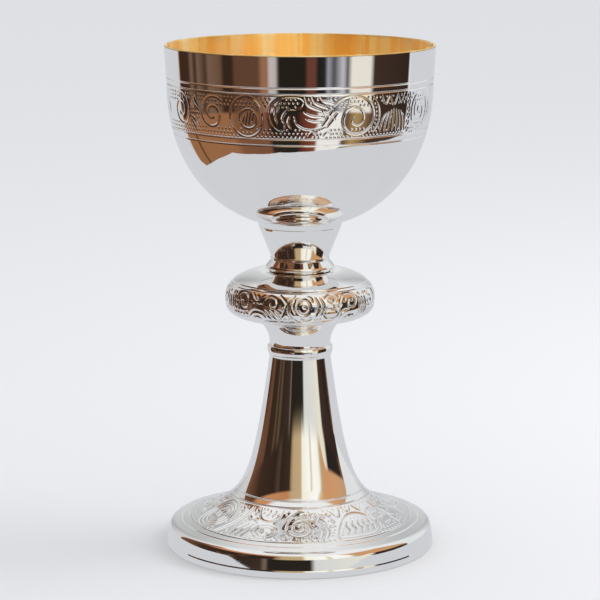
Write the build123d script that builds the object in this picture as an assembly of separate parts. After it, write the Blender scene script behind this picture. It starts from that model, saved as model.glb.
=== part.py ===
"""Communion chalice: a cup, two collars, a knop and a trumpet stem, clamped together by one tie rod.

Every sub-part is its own solid of revolution about Z, in millimetres. Z = 0 is the surface that
the foot stands on, and the vessel's axis is the Z axis. The cup's boss holds the top of the tie
rod; a dished plate, two washers and a nut inside the foot pull the whole stack together.
"""
from build123d import *
import os
from math import cos, pi, radians, sin, sqrt

# ---------------------------------------------------------------- driving dimensions (mm)
# Cup: a nearly straight wall above, a superellipse bowl below.
total_height = 215.0
rim_radius = 56.85
wall_foot_radius = 55.92
wall_foot_z = 199.4
bowl_depth = 61.55
bowl_power = 2.163
cup_wall = 1.1

# Cup boss: soldered under the bowl, tapped for the tie rod.
boss_radius = 17.45
boss_seat_z = 138.4
boss_spigot_radius = 9.0
boss_spigot_length = 8.0
boss_blank_height = 4.0
boss_web = 1.5

# Upper collar: a narrow land at the top, then a cone that is hardly hollow.
collar_land_height = 1.0
collar_top_radius = 17.2
collar_waist_radius = 12.3
collar_sag = 0.1
collar_socket_radius = 9.1
collar_socket_depth = 9.0

# Neck ring, between the upper collar and the knop.
neck_fillet_radius = 12.5
neck_fillet_height = 1.2
neck_ring_top_z = 124.1
neck_ring_top_radius = 12.3
neck_ring_radius = 14.6
neck_ring_edge_z = 121.0
neck_ring_edge_half_height = 0.7
neck_ring_edge_round = 0.35
neck_ring_underside_radius = 12.9
neck_ring_underside_z = 119.0
neck_ring_seat_radius = 11.5

# Knop: two spun shells, superellipses above and below the seam, dished around the neck ring.
knop_radius = 31.8
knop_seam_z = 107.85
knop_rise = 13.04
knop_rise_power = 2.44
knop_fall = 10.0
knop_fall_power = 3.29
knop_dish_radius = 19.0
knop_dish_depth = 13.6
knop_seat_radius = 11.6
knop_foot_radius = 18.5
knop_wall = 1.2
knop_hole_radius = 8.0
spigot_depth = 4.0

# Lower collar: a cove, one hollow arc, under the knop.
cove_arc_radius = 14.0
cove_waist_radius = 12.86
lower_collar_foot_z = 87.3

# Bead between the lower collar and the stem.
bead_foot_z = 83.5
bead_land_radius = 13.25
bead_radius = 13.96

# Stem and foot: one hyperbola between the line of the stem and the line of the foot, then a
# rounded shoulder and a skirt that leans in a little.
stem_band_height = 1.1
stem_line_radius = 11.44
stem_line_taper = 0.115
foot_line_radius = 55.5
foot_line_z = 7.13
foot_line_slope = 0.203
flare_constant = 104.0
foot_wall = 1.2
skirt_radius = 57.05
skirt_lean = 8.5
shoulder_radius = 3.1
shoulder_search_radius = 50.0

# Foot rim: the solid ring that the foot stands on.
foot_rim_radius = 57.3
foot_rim_bore = 53.6
foot_rim_height = 3.3
foot_rim_step = 2.2
foot_rim_round = 0.8

# Clamping parts, to standard M6 sizes.
rod_radius = 3.0
rod_bore_radius = 3.3
rod_tail = 1.6
plug_depth = 6.0
plate_foot_z = 25.0
plate_thickness = 2.5
washer_radius = 6.0
washer_thickness = 1.6
spring_washer_radius = 5.9
spring_washer_slot = 1.2
nut_across_flats = 10.0
nut_height = 5.2
nut_chamfer_drop = 0.8

# Turned lines: shallow half-round grooves beside the chased bands.
groove_radius = 0.3
cup_groove_heights = (201.9, 199.4, 181.2, 178.6)
knop_groove_radii = (29.6, 28.4)
knop_lower_groove_radius = 29.8
foot_groove_radii = (27.0, 28.95, 47.6, 50.6)

curve_steps = 14
halvings = 40
slope_step = 0.05
far = 200.0

# ---------------------------------------------------------------- derived heights and radii
collar_foot_z = neck_ring_top_z + neck_fillet_height
lean_cos = cos(radians(skirt_lean))
lean_sin = sin(radians(skirt_lean))
skirt_inner_radius = skirt_radius - foot_wall / lean_cos
stem_top_z = bead_foot_z - stem_band_height
washer_top_z = plate_foot_z
spring_washer_top_z = washer_top_z - washer_thickness
nut_top_z = spring_washer_top_z - washer_thickness
nut_foot_z = nut_top_z - nut_height
rod_foot_z = nut_foot_z - rod_tail
rod_top_z = wall_foot_z - bowl_depth - boss_web


# ---------------------------------------------------------------- curves
def superellipse(radius, height, power):
    """Points of a superellipse quarter, from (radius, 0) to (0, height)."""
    points = [(radius, 0.0)]
    for i in range(1, curve_steps):
        angle = pi / 2 * i / curve_steps
        points.append((radius * cos(angle) ** (2 / power), height * sin(angle) ** (2 / power)))
    return points + [(0.0, height)]


def bowl_points():
    """Outside of the bowl, from the foot of the straight wall down to the axis."""
    quarter = superellipse(wall_foot_radius, bowl_depth, bowl_power)
    return [(r, wall_foot_z - drop) for r, drop in quarter]


def knop_top_height(r):
    """Outside of the upper knop shell at radius r: a dome with a dish around the neck ring."""
    dome = knop_rise * (1 - (r / knop_radius) ** knop_rise_power) ** (1 / knop_rise_power)
    dish = knop_dish_depth * max(0.0, 1 - r / knop_dish_radius) ** 2
    return knop_seam_z + dome - dish


def knop_bottom_height(r):
    """Outside of the lower knop shell at radius r."""
    fall = knop_fall * (1 - (r / knop_radius) ** knop_fall_power) ** (1 / knop_fall_power)
    return knop_seam_z - fall


def knop_points(height_at, inner_radius):
    """Points of a knop shell from the seam in to a radius, closer together near the seam."""
    reach = knop_radius - inner_radius
    radii = [knop_radius - reach * (1 - cos(pi / 2 * i / curve_steps)) for i in range(curve_steps + 1)]
    return [(r, height_at(r)) for r in radii]


def flare_radius(z):
    """Outside of the stem and foot at height z: (r - stem line) * (z - foot line) is constant."""
    stem_line = stem_line_radius + stem_line_taper * (stem_top_z - z)
    rise = z - foot_line_z - foot_line_slope * foot_line_radius
    b = rise - foot_line_slope * stem_line
    c = -rise * stem_line - flare_constant
    return (-b + sqrt(b * b - 4 * foot_line_slope * c)) / (2 * foot_line_slope)


def flare_height(r):
    """Height of the same curve at radius r, found by halving."""
    low = foot_line_z
    high = stem_top_z
    for _ in range(halvings):
        middle = (low + high) / 2
        if flare_radius(middle) > r:
            low = middle
        else:
            high = middle
    return low


def flare_slope(r):
    """Slope of the same curve at radius r."""
    return (flare_height(r + slope_step) - flare_height(r - slope_step)) / (2 * slope_step)


def shoulder_centre(r):
    """Centre of a shoulder arc that touches the flare at radius r."""
    slope = flare_slope(r)
    length = sqrt(1 + slope * slope)
    return r + slope * shoulder_radius / length, flare_height(r) - shoulder_radius / length


def shoulder_edge():
    """Radius at which the shoulder arc touches both the flare and the skirt, found by halving."""
    low = shoulder_search_radius
    high = skirt_radius
    for _ in range(halvings):
        middle = (low + high) / 2
        r, z = shoulder_centre(middle)
        inset = (skirt_radius - r) * lean_cos - (z - foot_rim_height) * lean_sin
        if inset > shoulder_radius:
            low = middle
        else:
            high = middle
    return low


def flare_points():
    """Points down the stem and out over the foot, closer together where the curve turns."""
    foot_z = flare_height(shoulder_edge())
    ratio = foot_z / stem_top_z
    heights = [stem_top_z * ratio ** (i / curve_steps) for i in range(curve_steps + 1)]
    return [(flare_radius(z), z) for z in heights]


def moved_right(points, distance):
    """The same curve moved by a distance to the right of its direction of travel."""
    moved = []
    last = len(points) - 1
    for i, (r, z) in enumerate(points):
        before = points[max(i - 1, 0)]
        after = points[min(i + 1, last)]
        dr = after[0] - before[0]
        dz = after[1] - before[1]
        length = sqrt(dr * dr + dz * dz)
        moved.append((r + distance * dz / length, z - distance * dr / length))
    return moved


# ---------------------------------------------------------------- solids
def line(*points):
    """Straight runs through (r, z) points."""
    return Polyline(*[(r, 0, z) for r, z in points])


def curve(points):
    """One smooth curve through (r, z) points."""
    return Spline(*[(r, 0, z) for r, z in points])


def arc(start, middle, end):
    """A circular arc through three (r, z) points."""
    return ThreePointArc(*[(r, 0, z) for r, z in (start, middle, end)])


def turned(*edges):
    """The solid that a closed outline makes when it is turned about Z."""
    return revolve(make_face(edges), Axis.Z, 360)


def ring(outer, inner, foot_z, top_z):
    """A plain ring or tube between two heights."""
    foot = (inner, foot_z)
    return turned(line(foot, (outer, foot_z), (outer, top_z), (inner, top_z), foot))


def disc(radius, foot_z, top_z):
    """A plain disc on the axis."""
    return turned(line((0, foot_z), (radius, foot_z), (radius, top_z), (0, top_z), (0, foot_z)))


def grooves(places):
    """Half-round rings that cut turned lines at (r, z) places."""
    return [Pos(0, 0, z) * Torus(r, groove_radius) for r, z in places]


def wall_radius(z):
    """Outside of the cup at height z."""
    if z >= wall_foot_z:
        slope = (rim_radius - wall_foot_radius) / (total_height - wall_foot_z)
        return wall_foot_radius + slope * (z - wall_foot_z)
    drop = (wall_foot_z - z) / bowl_depth
    return wall_foot_radius * (1 - drop ** bowl_power) ** (1 / bowl_power)


def bowl_block():
    """The bowl's outer shape as one full solid."""
    outside = bowl_points()
    top = (0, wall_foot_z)
    return turned(curve(outside), line(outside[-1], top, outside[0]))


def cup():
    """Spun silver cup with a rounded lip, gilt inside."""
    outside = bowl_points()
    inside = [(r - cup_wall * r / wall_foot_radius, z) for r, z in outside]
    depth_ratio = (bowl_depth - cup_wall) / bowl_depth
    inside = [(r, wall_foot_z - (wall_foot_z - z) * depth_ratio) for r, z in inside]
    lip_z = total_height - cup_wall / 2
    lip_outer = (rim_radius, lip_z)
    lip_inner = (rim_radius - cup_wall, lip_z)
    lip_top = (rim_radius - cup_wall / 2, total_height)
    shell = turned(
        curve(outside),
        line(outside[-1], inside[-1]),
        curve(inside[::-1]),
        line(inside[0], lip_inner),
        arc(lip_inner, lip_top, lip_outer),
        line(lip_outer, outside[0]),
    )
    return shell - grooves([(wall_radius(z), z) for z in cup_groove_heights])


def cup_boss():
    """Turned pad under the bowl, with a spigot and a blind tapped hole for the tie rod."""
    spigot_foot_z = boss_seat_z - boss_spigot_length
    pad = disc(boss_radius, boss_seat_z, boss_seat_z + boss_blank_height)
    spigot = disc(boss_spigot_radius, spigot_foot_z, boss_seat_z)
    return pad + spigot - bowl_block() - disc(rod_radius, spigot_foot_z, rod_top_z)


def upper_collar():
    """Turned cone under the cup with a land at its top, bored for the rod and the boss."""
    top = (collar_top_radius, boss_seat_z - collar_land_height)
    waist = (collar_waist_radius, collar_foot_z)
    middle = ((top[0] + waist[0]) / 2 - collar_sag, (top[1] + waist[1]) / 2)
    socket_z = boss_seat_z - collar_socket_depth
    return turned(
        arc(top, middle, waist),
        line(
            waist,
            (rod_bore_radius, collar_foot_z),
            (rod_bore_radius, socket_z),
            (collar_socket_radius, socket_z),
            (collar_socket_radius, boss_seat_z),
            (boss_radius, boss_seat_z),
            top,
        ),
    )


def neck_ring():
    """Rounded ring that joins the upper collar to the knop, with a small fillet on top."""
    seat_z = knop_top_height(knop_seat_radius)
    fillet_top = (neck_fillet_radius - neck_ring_edge_round, collar_foot_z)
    fillet_side = (neck_fillet_radius, collar_foot_z - neck_fillet_height / 2)
    fillet_foot = (neck_ring_top_radius, neck_ring_top_z)
    edge_radius = neck_ring_radius - neck_ring_edge_round
    edge_top = (edge_radius, neck_ring_edge_z + neck_ring_edge_half_height)
    edge_foot = (edge_radius, neck_ring_edge_z - neck_ring_edge_half_height)
    spigot_foot_z = seat_z - spigot_depth
    return turned(
        arc(fillet_top, fillet_side, fillet_foot),
        line(fillet_foot, edge_top),
        arc(edge_top, (neck_ring_radius, neck_ring_edge_z), edge_foot),
        line(
            edge_foot,
            (neck_ring_underside_radius, neck_ring_underside_z),
            (neck_ring_seat_radius, seat_z),
            (knop_hole_radius, seat_z),
            (knop_hole_radius, spigot_foot_z),
            (rod_bore_radius, spigot_foot_z),
            (rod_bore_radius, collar_foot_z),
            fillet_top,
        ),
    )


def knop_shell(height_at, seat_radius, side):
    """One spun knop shell from the seam to its flat seat; side is 1 above the seam, -1 below."""
    outside = knop_points(height_at, seat_radius)
    seat_z = outside[-1][1]
    inside = moved_right(outside, -side * knop_wall)
    inside[0] = (knop_radius - knop_wall, knop_seam_z)
    inside[-1] = (seat_radius, seat_z - side * knop_wall)
    return turned(
        curve(outside),
        line(outside[-1], (knop_hole_radius, seat_z), (knop_hole_radius, inside[-1][1]), inside[-1]),
        curve(inside[::-1]),
        line(inside[0], outside[0]),
    )


def knop_upper_shell():
    """Domed upper half of the knop."""
    shell = knop_shell(knop_top_height, knop_seat_radius, 1)
    return shell - grooves([(r, knop_top_height(r)) for r in knop_groove_radii])


def knop_lower_shell():
    """Flatter lower half of the knop."""
    shell = knop_shell(knop_bottom_height, knop_foot_radius, -1)
    groove = (knop_lower_groove_radius, knop_bottom_height(knop_lower_groove_radius))
    return shell - grooves([groove])


def knop_spacer():
    """Tube inside the knop that carries the clamping load past the thin shells."""
    top_z = knop_top_height(knop_seat_radius) - spigot_depth
    foot_z = knop_bottom_height(knop_foot_radius) + spigot_depth
    return ring(knop_hole_radius, rod_bore_radius, foot_z, top_z)


def cove_radius(z):
    """Outside of the lower collar at height z, level with the axis at its foot."""
    rise = z - lower_collar_foot_z
    return cove_waist_radius + cove_arc_radius - sqrt(cove_arc_radius**2 - rise**2)


def lower_collar():
    """Turned cove under the knop, with a spigot that centres the knop."""
    top_z = knop_bottom_height(knop_foot_radius)
    top = (cove_radius(top_z), top_z)
    waist = (cove_waist_radius, lower_collar_foot_z)
    middle_z = (top_z + lower_collar_foot_z) / 2
    middle = (cove_radius(middle_z), middle_z)
    return turned(
        arc(top, middle, waist),
        line(
            waist,
            (rod_bore_radius, lower_collar_foot_z),
            (rod_bore_radius, top_z + spigot_depth),
            (knop_hole_radius, top_z + spigot_depth),
            (knop_hole_radius, top_z),
            top,
        ),
    )


def bead_ring():
    """Half-round bead between the lower collar and the stem."""
    middle_z = (lower_collar_foot_z + bead_foot_z) / 2
    top = (bead_land_radius, lower_collar_foot_z)
    foot = (bead_land_radius, bead_foot_z)
    return turned(
        arc(top, (bead_radius, middle_z), foot),
        line(foot, (rod_bore_radius, bead_foot_z), (rod_bore_radius, lower_collar_foot_z), top),
    )


def flare_inside():
    """Inside of the stem and foot, parallel to the outside."""
    inside = moved_right(flare_points(), foot_wall)
    return [(inside[0][0], bead_foot_z)] + inside


def shoulder(radius):
    """The rounded shoulder, from the flare's edge to the top of the skirt, as three points."""
    edge = shoulder_edge()
    centre_r, centre_z = shoulder_centre(edge)
    up_r = (edge - centre_r) / shoulder_radius
    up_z = (flare_height(edge) - centre_z) / shoulder_radius
    across = up_r + lean_cos
    up = up_z + lean_sin
    length = sqrt(across * across + up * up)
    start = (centre_r + radius * up_r, centre_z + radius * up_z)
    middle = (centre_r + radius * across / length, centre_z + radius * up / length)
    end = (centre_r + radius * lean_cos, centre_z + radius * lean_sin)
    return start, middle, end


def stem_and_foot():
    """One spun shell: a stem band, the trumpet stem, the spreading foot and its skirt."""
    outside = flare_points()
    inside = flare_inside()
    outer = shoulder(shoulder_radius)
    inner = shoulder(shoulder_radius - foot_wall)
    outside[-1] = outer[0]
    inside[-1] = inner[0]
    shell = turned(
        line((bead_land_radius, bead_foot_z), (bead_land_radius, stem_top_z), outside[0]),
        curve(outside),
        arc(*outer),
        line(outer[-1], (skirt_radius, foot_rim_height), (skirt_inner_radius, foot_rim_height), inner[-1]),
        arc(*inner),
        curve(inside[:0:-1]),
        line(inside[1], inside[0], (bead_land_radius, bead_foot_z)),
    )
    return shell - grooves([(r, flare_height(r)) for r in foot_groove_radii])


def stem_core():
    """The space inside the stem and foot as one full solid."""
    inside = flare_inside()
    axis_foot = (0, inside[-1][1])
    return turned(curve(inside[1:]), line(inside[-1], axis_foot, (0, bead_foot_z), inside[0], inside[1]))


def stem_plug():
    """Disc soldered in the stem's narrow top, which centres the rod and carries the bead."""
    slab = ring(far, rod_bore_radius, bead_foot_z - plug_depth, bead_foot_z)
    return stem_core() & slab


def clamp_plate():
    """Plate whose edge wedges in the trumpet above the nut."""
    slab = ring(far, rod_bore_radius, plate_foot_z, plate_foot_z + plate_thickness)
    return stem_core() & slab


def foot_rim():
    """Solid ring under the skirt, stepped to locate it, with a rounded edge at the floor."""
    step_z = foot_rim_height + foot_rim_step
    step_top_radius = skirt_inner_radius - foot_rim_step * lean_sin / lean_cos
    rounding = foot_rim_round
    round_foot = (foot_rim_radius - rounding, 0)
    round_side = (foot_rim_radius, rounding)
    inset = rounding * (1 - sqrt(0.5))
    round_middle = (foot_rim_radius - inset, inset)
    return turned(
        line((foot_rim_bore, 0), round_foot),
        arc(round_foot, round_middle, round_side),
        line(
            round_side,
            (skirt_radius, foot_rim_height),
            (skirt_inner_radius, foot_rim_height),
            (step_top_radius, step_z),
            (foot_rim_bore, step_z),
            (foot_rim_bore, 0),
        ),
    )


def tie_rod():
    """M6 rod from the cup boss down through the whole stack."""
    return disc(rod_radius, rod_foot_z, rod_top_z)


def plain_washer():
    """Flat washer under the clamp plate."""
    return ring(washer_radius, rod_bore_radius, spring_washer_top_z, washer_top_z)


def spring_washer():
    """Split washer that keeps the stack tight."""
    washer = ring(spring_washer_radius, rod_bore_radius, nut_top_z, spring_washer_top_z)
    slot_z = (nut_top_z + spring_washer_top_z) / 2
    cutter = Box(2 * spring_washer_radius, spring_washer_slot, nut_height)
    return washer - Pos(spring_washer_radius, 0, slot_z) * cutter


def hex_nut():
    """M6 nut, its corners chamfered top and bottom."""
    nut = Pos(0, 0, (nut_foot_z + nut_top_z) / 2) * extrude(
        RegularPolygon(nut_across_flats / 2, 6, major_radius=False), nut_height / 2, both=True
    )
    corner_radius = nut_across_flats / sqrt(3)
    flat_radius = nut_across_flats / 2
    blank = turned(
        line(
            (0, nut_foot_z),
            (flat_radius, nut_foot_z),
            (corner_radius, nut_foot_z + nut_chamfer_drop),
            (corner_radius, nut_top_z - nut_chamfer_drop),
            (flat_radius, nut_top_z),
            (0, nut_top_z),
            (0, nut_foot_z),
        )
    )
    return (nut & blank) - disc(rod_radius, 0, far)


sub_parts = (
    cup,
    cup_boss,
    upper_collar,
    neck_ring,
    knop_upper_shell,
    knop_lower_shell,
    knop_spacer,
    lower_collar,
    bead_ring,
    stem_and_foot,
    stem_plug,
    foot_rim,
    tie_rod,
    clamp_plate,
    plain_washer,
    spring_washer,
    hex_nut,
)

os.makedirs("parts", exist_ok=True)
for make in sub_parts:
    export_step(make(), f"parts/{make.__name__}.step")
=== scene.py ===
"""Looks of the communion chalice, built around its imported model.

Profiles are in millimetres, as (radius, height) points, and become metres when a mesh is made.
Azimuth is measured from the side that faces the camera, and grows to the right.
"""
from math import cos, hypot, pi, radians, sin, sqrt

import bpy
import numpy as np
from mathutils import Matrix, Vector


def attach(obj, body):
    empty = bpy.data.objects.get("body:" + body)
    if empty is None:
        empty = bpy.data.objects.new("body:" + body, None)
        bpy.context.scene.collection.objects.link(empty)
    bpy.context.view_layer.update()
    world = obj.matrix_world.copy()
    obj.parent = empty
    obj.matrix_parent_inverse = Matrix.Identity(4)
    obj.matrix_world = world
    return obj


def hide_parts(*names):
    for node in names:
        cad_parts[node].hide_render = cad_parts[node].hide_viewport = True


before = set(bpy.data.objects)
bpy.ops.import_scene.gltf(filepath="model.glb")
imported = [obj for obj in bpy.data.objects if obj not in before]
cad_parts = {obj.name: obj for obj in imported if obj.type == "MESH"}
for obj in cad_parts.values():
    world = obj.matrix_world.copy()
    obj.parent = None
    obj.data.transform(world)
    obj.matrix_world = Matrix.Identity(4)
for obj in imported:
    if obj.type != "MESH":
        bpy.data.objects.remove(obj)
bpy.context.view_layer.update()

MM = 0.001  # metres
COLUMNS = 288  # faces round a plain turned piece
HALF_TURN_COLUMNS = 720  # faces round half of the cup's band, and round the whole knop
CORNER_ANGLE = radians(75)  # an edge sharper than this is shaded sharp
ON_AXIS = 1e-6

# ---------------------------------------------------------------- shape: lengths in mm
RIM_RADIUS = 56.85
TOTAL_HEIGHT = 215.0
WALL_FOOT_RADIUS = 55.92
WALL_FOOT_Z = 199.4
BOWL_DEPTH = 61.55
BOWL_POWER = 2.163
CUP_WALL = 1.1
CUP_LINES = (201.9, 199.4, 181.2, 178.6)
CUP_BAND = (181.2, 199.4)
CUP_BAND_RADIUS = 54.5
CUP_BAND_ROWS = 61
CUP_BAND_SINK = 0.4
CUP_BAND_THICKNESS = 0.6
SILVER_LAYER = 0.7
GILT_LAYER = 0.3
GILT_LIP_ANGLE = 0.35  # radians above the lip's outer edge, where the gilding starts

BOSS_RADIUS = 17.45
BOSS_FLARE = 0.65  # by which the boss widens up to the bowl
BOSS_SEAT_Z = 138.4
BOSS_SPIGOT = (9.0, 130.4)
COLLAR_TOP = (17.2, 137.4)
COLLAR_WAIST = (12.3, 125.3)
COLLAR_SAG = 0.1
COLLAR_SOCKET = (9.1, 129.4)
ROD_RADIUS = 3.0
ROD_TOP_Z = 136.35
BORE_RADIUS = 3.3
JOINT_LAP = 0.02

NECK_TOP_RADIUS = 12.15
NECK_FILLET_RADIUS = 12.5
NECK_THROAT = (12.3, 124.1)
NECK_RING_RADIUS = 14.6
NECK_RING_Z = 121.0
NECK_RING_EDGE_RADIUS = 14.25
NECK_RING_EDGE_HALF = 0.7
NECK_UNDERSIDE = (12.9, 119.0)
NECK_SEAT_RADIUS = 11.5

KNOP_RADIUS = 31.8
KNOP_SEAM_Z = 107.85
KNOP_SEAT_RADIUS = 11.6
KNOP_FOOT_RADIUS = 18.5
KNOP_WALL = 1.2
KNOP_HOLE_RADIUS = 8.0
KNOP_LINES = (29.6, 28.4)
KNOP_LOWER_LINE = 29.8
KNOP_DOME_RISE = 13.04
KNOP_DOME_POWER = 2.44
KNOP_DISH_DEPTH = 13.6
KNOP_DISH_RADIUS = 19.0
KNOP_BELLY_DROP = 10.0
KNOP_BELLY_POWER = 3.29
KNOP_BAND_RADIUS = 31.4
KNOP_BAND_DESIGN_HEIGHT = 13.4
KNOP_UPPER_ROWS = 26
KNOP_LOWER_ROWS = 24
SPIGOT_DEPTH = 4.0

LOWER_COLLAR_FOOT_Z = 87.3
COVE_ARC_RADIUS = 14.0
COVE_WAIST_RADIUS = 12.86
BEAD_FOOT_Z = 83.5
BEAD_LAND_RADIUS = 13.25
BEAD_RADIUS = 13.96

STEM_TOP_Z = 82.4
STEM_LINE_RADIUS = 11.44
STEM_LINE_TAPER = 0.115
STEM_TOP_BEVEL = 0.2
FOOT_LINE_RADIUS = 55.5
FOOT_LINE_Z = 7.13
FOOT_LINE_SLOPE = 0.203
FLARE_CONSTANT = 104.0
SKIRT_RADIUS = 57.05
SKIRT_LEAN = radians(8.5)
SHOULDER_RADIUS = 3.1
SHOULDER_SEARCH_RADIUS = 50.0
SLOPE_STEP = 0.05
FOOT_WALL = 1.2
FOOT_LINES = (27.0, 28.95, 47.6, 50.6)
FOOT_BAND = (28.95, 47.6)
FOOT_BAND_RADIUS = 38.3
FOOT_BAND_LENGTH = 19.6
FOOT_BAND_ROWS = 68
FOOT_BAND_SINK = 0.5
FOOT_BAND_THICKNESS = 0.8
FOOT_RIM_RADIUS = 57.3
FOOT_RIM_BORE = 53.6
FOOT_RIM_HEIGHT = 3.3
FOOT_RIM_STEP = 2.2
FOOT_RIM_ROUND = 0.8

LINE_HALF_WIDTH = 0.42
LINE_DEPTH = 0.26
BAND_GAP = 0.05
FINE_STEP = 0.1
SCORED_STEP = 0.7  # between points away from the turned lines of the knop and the foot

EDGE_SHARE = 0.45  # the most that a rounding takes of the edges beside it
SUPPORT_REACH = 1.25  # how far beyond a rounding its support points stand
ROUNDING_POINTS = 6

UNCUT = 0.03  # depth below which the ground of a band counts as free
STROKE_STEP = 0.12


def bowl_radius(z):
    """Outside of the cup at height z."""
    if z >= WALL_FOOT_Z:
        slope = (RIM_RADIUS - WALL_FOOT_RADIUS) / (TOTAL_HEIGHT - WALL_FOOT_Z)
        return WALL_FOOT_RADIUS + slope * (z - WALL_FOOT_Z)
    drop = min(1.0, (WALL_FOOT_Z - z) / BOWL_DEPTH)
    return WALL_FOOT_RADIUS * (1 - drop**BOWL_POWER) ** (1 / BOWL_POWER)


def bowl_height(r):
    """Height of the bowl's outside at radius r."""
    return WALL_FOOT_Z - BOWL_DEPTH * (1 - (r / WALL_FOOT_RADIUS) ** BOWL_POWER) ** (1 / BOWL_POWER)


def knop_top(r):
    """Outside of the upper knop shell at radius r."""
    dome = KNOP_DOME_RISE * (1 - (r / KNOP_RADIUS) ** KNOP_DOME_POWER) ** (1 / KNOP_DOME_POWER)
    dish = KNOP_DISH_DEPTH * max(0.0, 1 - r / KNOP_DISH_RADIUS) ** 2
    return KNOP_SEAM_Z + dome - dish


def knop_bottom(r):
    """Outside of the lower knop shell at radius r."""
    share = 1 - (r / KNOP_RADIUS) ** KNOP_BELLY_POWER
    return KNOP_SEAM_Z - KNOP_BELLY_DROP * share ** (1 / KNOP_BELLY_POWER)


def flare_radius(z):
    """Outside of the stem and foot at height z: a hyperbola between a stem line and a foot line."""
    stem_line = STEM_LINE_RADIUS + STEM_LINE_TAPER * (STEM_TOP_Z - z)
    rise = z - FOOT_LINE_Z - FOOT_LINE_SLOPE * FOOT_LINE_RADIUS
    b = rise - FOOT_LINE_SLOPE * stem_line
    c = -rise * stem_line - FLARE_CONSTANT
    return (-b + sqrt(b * b - 4 * FOOT_LINE_SLOPE * c)) / (2 * FOOT_LINE_SLOPE)


def flare_height(r):
    """Height of the stem and foot's outside at radius r, found by halving."""
    low = FOOT_LINE_Z
    high = STEM_TOP_Z
    for _ in range(40):
        middle = (low + high) / 2
        if flare_radius(middle) > r:
            low = middle
        else:
            high = middle
    return low


# ---------------------------------------------------------------- profiles
def arc_lengths(points):
    """Distance along a curve at each of its points."""
    return np.concatenate([[0], np.cumsum(np.hypot(*np.diff(points, axis=0).T))])


def even(points, step):
    """Points at about equal steps along a curve, with both ends kept."""
    points = np.array(points, float)
    total = arc_lengths(points)
    count = max(1, int(round(total[-1] / step)))
    places = np.linspace(0, total[-1], count + 1)
    return np.stack([np.interp(places, total, points[:, 0]), np.interp(places, total, points[:, 1])], 1)


def outward(points):
    """Unit normals on the open side of a profile that runs downwards."""
    steps = np.gradient(points, axis=0)
    normals = np.stack([-steps[:, 1], steps[:, 0]], 1)
    return normals / np.hypot(normals[:, 0], normals[:, 1])[:, None]


def line_cut(away):
    """Depth of a turned line at a distance from its middle."""
    return LINE_DEPTH * np.clip(1 - (away / LINE_HALF_WIDTH) ** 2, 0, 1) ** 2


def scored(points, places, step=0.9):
    """A profile with turned lines at (r, z) places, fine at the lines and coarser between them."""
    fine = even(points, FINE_STEP)
    along = arc_lengths(fine)
    nearest = np.full(len(fine), np.inf)
    for place in places:
        at = along[np.argmin(np.hypot(fine[:, 0] - place[0], fine[:, 1] - place[1]))]
        nearest = np.minimum(nearest, abs(along - at))
    every = max(1, int(round(step / FINE_STEP)))
    keep = (nearest < LINE_HALF_WIDTH + 0.25) | (np.arange(len(fine)) % every == 0)
    keep[0] = keep[-1] = True
    moved = fine - outward(fine) * line_cut(nearest)[:, None]
    return moved[keep]


def sink(profile, axis, band, depth):
    """Moves a profile inwards, in place, where a band given in r (axis 0) or z (axis 1) covers it."""
    low, high = band
    behind = (profile[:, axis] > low + BAND_GAP) & (profile[:, axis] < high - BAND_GAP)
    profile[behind] -= outward(profile)[behind] * depth


def softened(corners):
    """A closed outline from (r, z, rounding) corners, with a small arc at each rounded corner."""
    out = []
    count = len(corners)
    for i, (r, z, rounding) in enumerate(corners):
        here = np.array((r, z), float)
        if rounding == 0:
            out.append(tuple(here))
            continue
        back = np.array(corners[i - 1][:2]) - here
        ahead = np.array(corners[(i + 1) % count][:2]) - here
        back_length = hypot(*back)
        ahead_length = hypot(*ahead)
        back = back / back_length
        ahead = ahead / ahead_length
        half = np.arccos(np.clip(back @ ahead, -1, 1)) / 2
        cut = min(rounding / np.tan(half), EDGE_SHARE * back_length, EDGE_SHARE * ahead_length)
        radius = cut * np.tan(half)
        middle = (back + ahead) / hypot(*(back + ahead))
        centre = here + middle * radius / np.sin(half)
        first = here + back * cut - centre
        last = here + ahead * cut - centre
        sweep = np.arctan2(first[0] * last[1] - first[1] * last[0], first @ last)
        if SUPPORT_REACH * cut < EDGE_SHARE * back_length:
            out.append(tuple(here + back * cut * SUPPORT_REACH))
        across = np.array((-first[1], first[0]))
        for t in np.linspace(0, sweep, ROUNDING_POINTS):
            out.append(tuple(centre + first * cos(t) + across * sin(t)))
        if SUPPORT_REACH * cut < EDGE_SHARE * ahead_length:
            out.append(tuple(here + ahead * cut * SUPPORT_REACH))
    return out


def through(points, step):
    """A smooth curve through points: a Catmull-Rom spline, at about equal steps."""
    p = np.array(points, float)
    if len(p) == 2:
        return even(p, step)
    p = np.concatenate([[2 * p[0] - p[1]], p, [2 * p[-1] - p[-2]]])
    t = np.linspace(0, 1, 12, endpoint=False)[:, None]
    runs = []
    for a, b, c, d in zip(p, p[1:], p[2:], p[3:]):
        second = (2 * a - 5 * b + 4 * c - d) * t**2
        third = (3 * b - a - 3 * c + d) * t**3
        runs.append(0.5 * (2 * b + (c - a) * t + second + third))
    return even(np.concatenate(runs + [p[-2:-1]]), step)


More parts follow.
